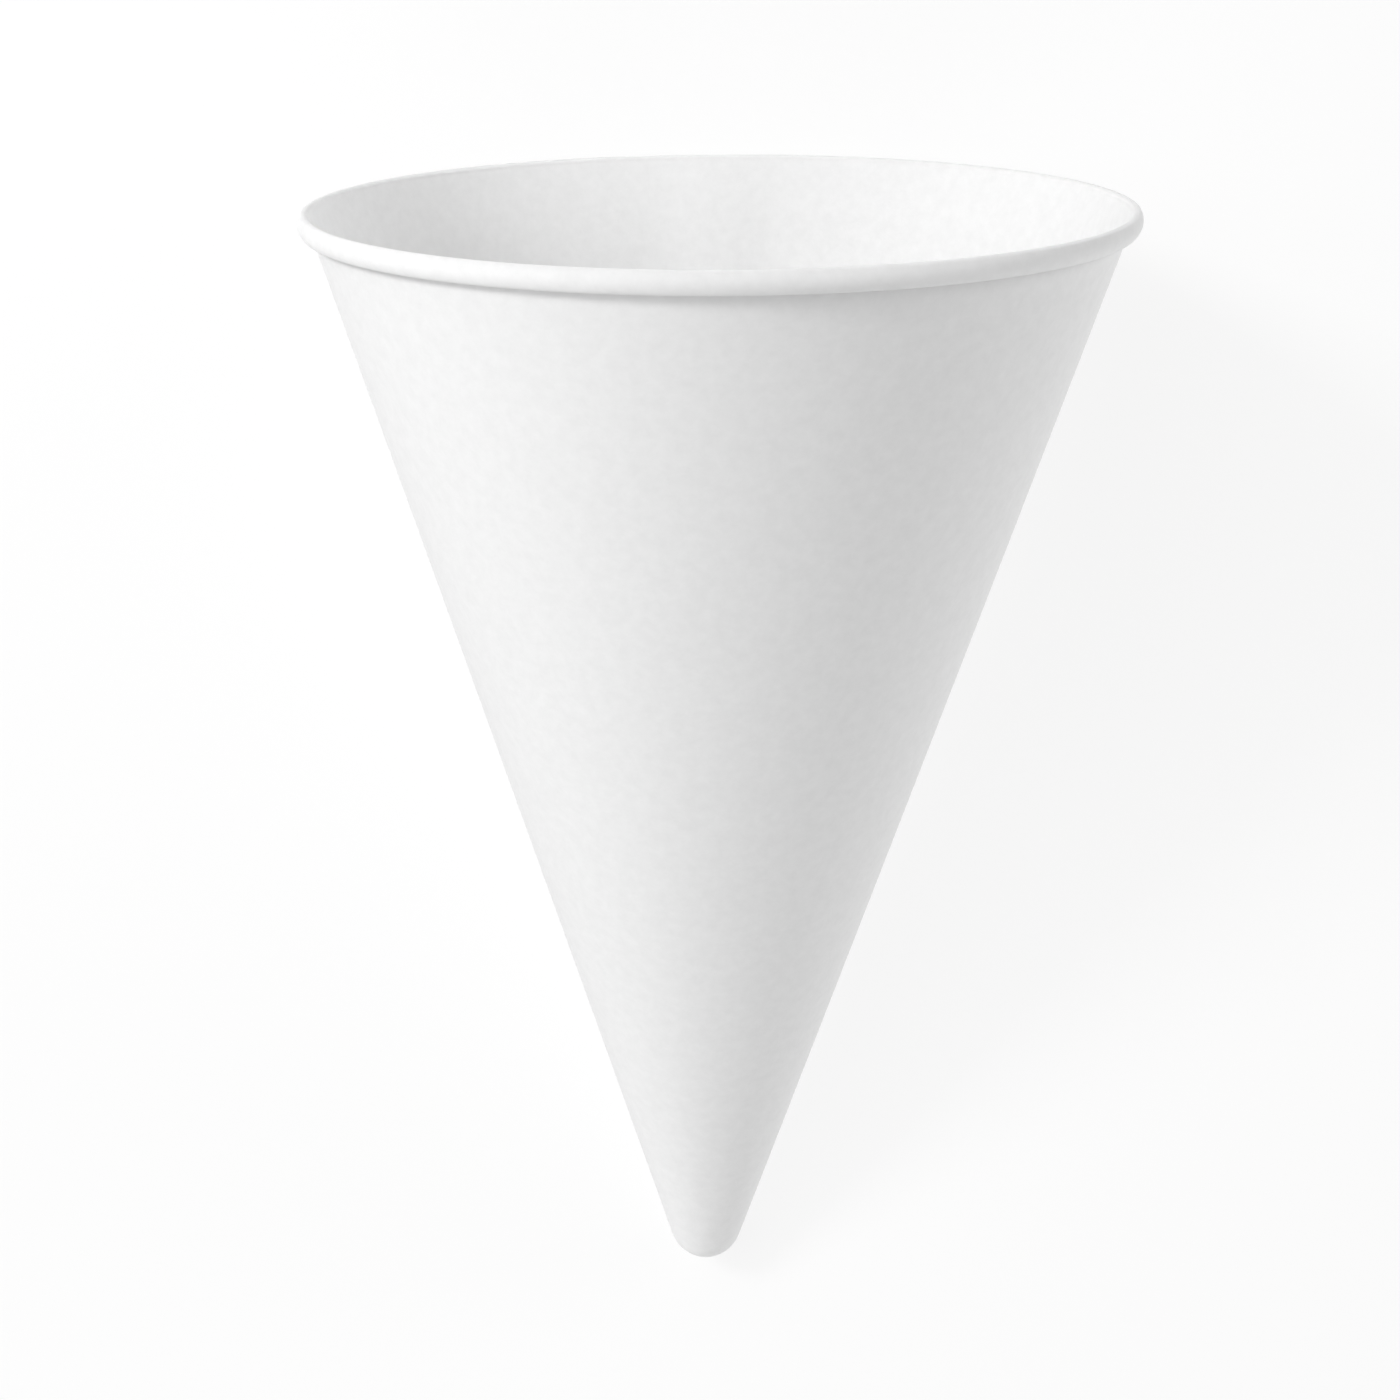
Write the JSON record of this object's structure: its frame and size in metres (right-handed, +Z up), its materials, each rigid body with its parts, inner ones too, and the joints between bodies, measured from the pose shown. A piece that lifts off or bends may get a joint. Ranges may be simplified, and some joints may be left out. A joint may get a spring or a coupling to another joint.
{
  "type": "cone paper cup",
  "caption": "White cone-shaped paper drinking cup with a curled rim, a glued lap seam and a rounded tip, lying on its side.",
  "frame": {"origin": "on the surface that the cup lies on, in the middle of its box", "axes": "+Z up; +Y from the tip towards the mouth; the cup's own axis rises 17.5 degrees from +Y, and the lap seam is underneath"},
  "size_m": [0.0736, 0.114, 0.07],
  "materials": {
    "paper": "matte"
  },
  "bodies": {
    "root": {"cone_cup": "paper"}
  },
  "joints": []
}
